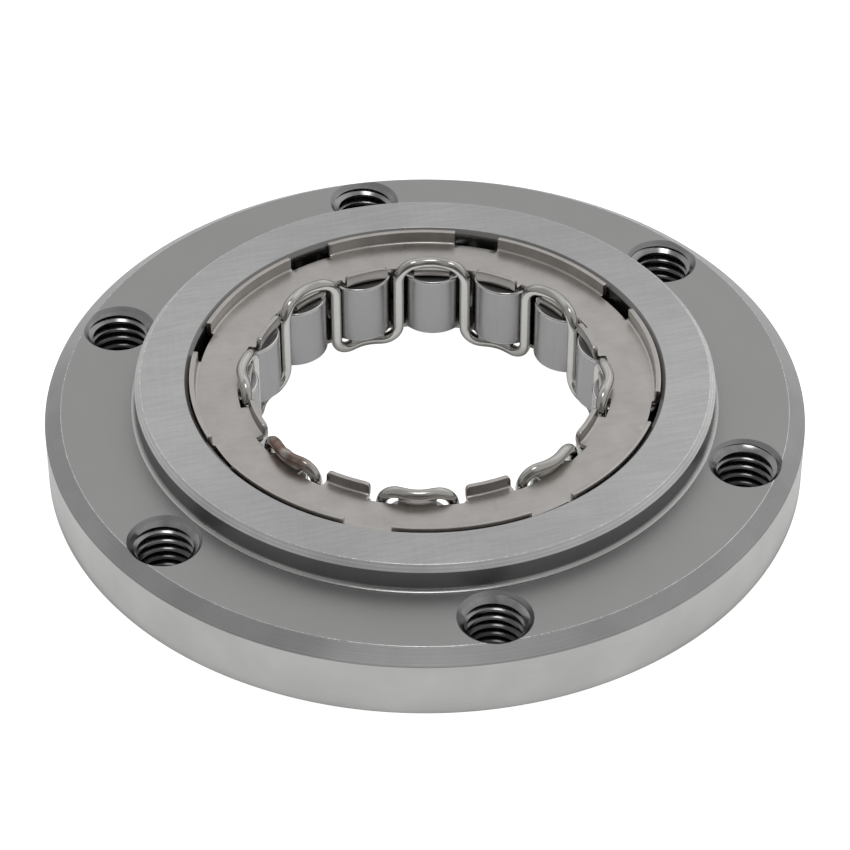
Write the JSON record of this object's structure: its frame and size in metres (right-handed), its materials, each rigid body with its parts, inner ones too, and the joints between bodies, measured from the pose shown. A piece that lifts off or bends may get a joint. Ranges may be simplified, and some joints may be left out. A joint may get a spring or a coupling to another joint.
{
  "type": "sprag clutch",
  "caption": "Sprag one-way clutch: a flanged outer race with tapped holes around a two-plate cage of tilting sprags held by a serpentine wire spring.",
  "frame": {"origin": "centre of the outer race's bottom face, on the clutch axis", "axes": "+Z along the clutch axis towards the hub, +X through the first tapped hole"},
  "size_m": [0.092, 0.092, 0.0128],
  "materials": {
    "race_steel": "turned and ground satin steel",
    "cage_steel": "stamped sheet steel with a soft sheen",
    "sprag_steel": "fine ground steel",
    "spring_steel": "bright drawn wire"
  },
  "bodies": {
    "outer_race": {"outer_race": "race_steel"},
    "cage": {"cage_top_plate": "cage_steel", "cage_bottom_plate": "cage_steel", "energising_spring": "spring_steel"},
    "sprag_01": {"sprag_01": "sprag_steel"},
    "sprag_02": {"sprag_02": "sprag_steel"},
    "sprag_03": {"sprag_03": "sprag_steel"},
    "sprag_04": {"sprag_04": "sprag_steel"},
    "sprag_05": {"sprag_05": "sprag_steel"},
    "sprag_06": {"sprag_06": "sprag_steel"},
    "sprag_07": {"sprag_07": "sprag_steel"},
    "sprag_08": {"sprag_08": "sprag_steel"},
    "sprag_09": {"sprag_09": "sprag_steel"},
    "sprag_10": {"sprag_10": "sprag_steel"},
    "sprag_11": {"sprag_11": "sprag_steel"},
    "sprag_12": {"sprag_12": "sprag_steel"},
    "sprag_13": {"sprag_13": "sprag_steel"},
    "sprag_14": {"sprag_14": "sprag_steel"},
    "sprag_15": {"sprag_15": "sprag_steel"},
    "sprag_16": {"sprag_16": "sprag_steel"}
  },
  "joints": [
    {"name": "cage_spin", "type": "hinge", "parent": "outer_race", "child": "cage", "pos_m": [0, 0, 0.00625], "axis": [0, 0, 1], "continuous": true},
    {"name": "sprag_01_tilt", "type": "hinge", "parent": "cage", "child": "sprag_01", "pos_m": [0.02339, 0.00601, 0.00625], "axis": [0, 0, 1], "range_deg": [-5, 4], "stiffness_Nm_per_rad": 0.002},
    {"name": "sprag_02_tilt", "type": "hinge", "parent": "cage", "child": "sprag_02", "pos_m": [0.01931, 0.0145, 0.00625], "axis": [0, 0, 1], "range_deg": [-5, 4], "stiffness_Nm_per_rad": 0.002},
    {"name": "sprag_03_tilt", "type": "hinge", "parent": "cage", "child": "sprag_03", "pos_m": [0.01229, 0.02079, 0.00625], "axis": [0, 0, 1], "range_deg": [-5, 4], "stiffness_Nm_per_rad": 0.002},
    {"name": "sprag_04_tilt", "type": "hinge", "parent": "cage", "child": "sprag_04", "pos_m": [0.0034, 0.02391, 0.00625], "axis": [0, 0, 1], "range_deg": [-5, 4], "stiffness_Nm_per_rad": 0.002},
    {"name": "sprag_05_tilt", "type": "hinge", "parent": "cage", "child": "sprag_05", "pos_m": [-0.00601, 0.02339, 0.00625], "axis": [0, 0, 1], "range_deg": [-5, 4], "stiffness_Nm_per_rad": 0.002},
    {"name": "sprag_06_tilt", "type": "hinge", "parent": "cage", "child": "sprag_06", "pos_m": [-0.0145, 0.01931, 0.00625], "axis": [0, 0, 1], "range_deg": [-5, 4], "stiffness_Nm_per_rad": 0.002},
    {"name": "sprag_07_tilt", "type": "hinge", "parent": "cage", "child": "sprag_07", "pos_m": [-0.02079, 0.01229, 0.00625], "axis": [0, 0, 1], "range_deg": [-5, 4], "stiffness_Nm_per_rad": 0.002},
    {"name": "sprag_08_tilt", "type": "hinge", "parent": "cage", "child": "sprag_08", "pos_m": [-0.02391, 0.0034, 0.00625], "axis": [0, 0, 1], "range_deg": [-5, 4], "stiffness_Nm_per_rad": 0.002},
    {"name": "sprag_09_tilt", "type": "hinge", "parent": "cage", "child": "sprag_09", "pos_m": [-0.02339, -0.00601, 0.00625], "axis": [0, 0, 1], "range_deg": [-5, 4], "stiffness_Nm_per_rad": 0.002},
    {"name": "sprag_10_tilt", "type": "hinge", "parent": "cage", "child": "sprag_10", "pos_m": [-0.01931, -0.0145, 0.00625], "axis": [0, 0, 1], "range_deg": [-5, 4], "stiffness_Nm_per_rad": 0.002},
    {"name": "sprag_11_tilt", "type": "hinge", "parent": "cage", "child": "sprag_11", "pos_m": [-0.01229, -0.02079, 0.00625], "axis": [0, 0, 1], "range_deg": [-5, 4], "stiffness_Nm_per_rad": 0.002},
    {"name": "sprag_12_tilt", "type": "hinge", "parent": "cage", "child": "sprag_12", "pos_m": [-0.0034, -0.02391, 0.00625], "axis": [0, 0, 1], "range_deg": [-5, 4], "stiffness_Nm_per_rad": 0.002},
    {"name": "sprag_13_tilt", "type": "hinge", "parent": "cage", "child": "sprag_13", "pos_m": [0.00601, -0.02339, 0.00625], "axis": [0, 0, 1], "range_deg": [-5, 4], "stiffness_Nm_per_rad": 0.002},
    {"name": "sprag_14_tilt", "type": "hinge", "parent": "cage", "child": "sprag_14", "pos_m": [0.0145, -0.01931, 0.00625], "axis": [0, 0, 1], "range_deg": [-5, 4], "stiffness_Nm_per_rad": 0.002},
    {"name": "sprag_15_tilt", "type": "hinge", "parent": "cage", "child": "sprag_15", "pos_m": [0.02079, -0.01229, 0.00625], "axis": [0, 0, 1], "range_deg": [-5, 4], "stiffness_Nm_per_rad": 0.002},
    {"name": "sprag_16_tilt", "type": "hinge", "parent": "cage", "child": "sprag_16", "pos_m": [0.02391, -0.0034, 0.00625], "axis": [0, 0, 1], "range_deg": [-5, 4], "stiffness_Nm_per_rad": 0.002}
  ],
  "couplings": [
    {"joint": "sprag_02_tilt", "follows": "sprag_01_tilt", "ratio": 1},
    {"joint": "sprag_03_tilt", "follows": "sprag_01_tilt", "ratio": 1},
    {"joint": "sprag_04_tilt", "follows": "sprag_01_tilt", "ratio": 1},
    {"joint": "sprag_05_tilt", "follows": "sprag_01_tilt", "ratio": 1},
    {"joint": "sprag_06_tilt", "follows": "sprag_01_tilt", "ratio": 1},
    {"joint": "sprag_07_tilt", "follows": "sprag_01_tilt", "ratio": 1},
    {"joint": "sprag_08_tilt", "follows": "sprag_01_tilt", "ratio": 1},
    {"joint": "sprag_09_tilt", "follows": "sprag_01_tilt", "ratio": 1},
    {"joint": "sprag_10_tilt", "follows": "sprag_01_tilt", "ratio": 1},
    {"joint": "sprag_11_tilt", "follows": "sprag_01_tilt", "ratio": 1},
    {"joint": "sprag_12_tilt", "follows": "sprag_01_tilt", "ratio": 1},
    {"joint": "sprag_13_tilt", "follows": "sprag_01_tilt", "ratio": 1},
    {"joint": "sprag_14_tilt", "follows": "sprag_01_tilt", "ratio": 1},
    {"joint": "sprag_15_tilt", "follows": "sprag_01_tilt", "ratio": 1},
    {"joint": "sprag_16_tilt", "follows": "sprag_01_tilt", "ratio": 1}
  ]
}
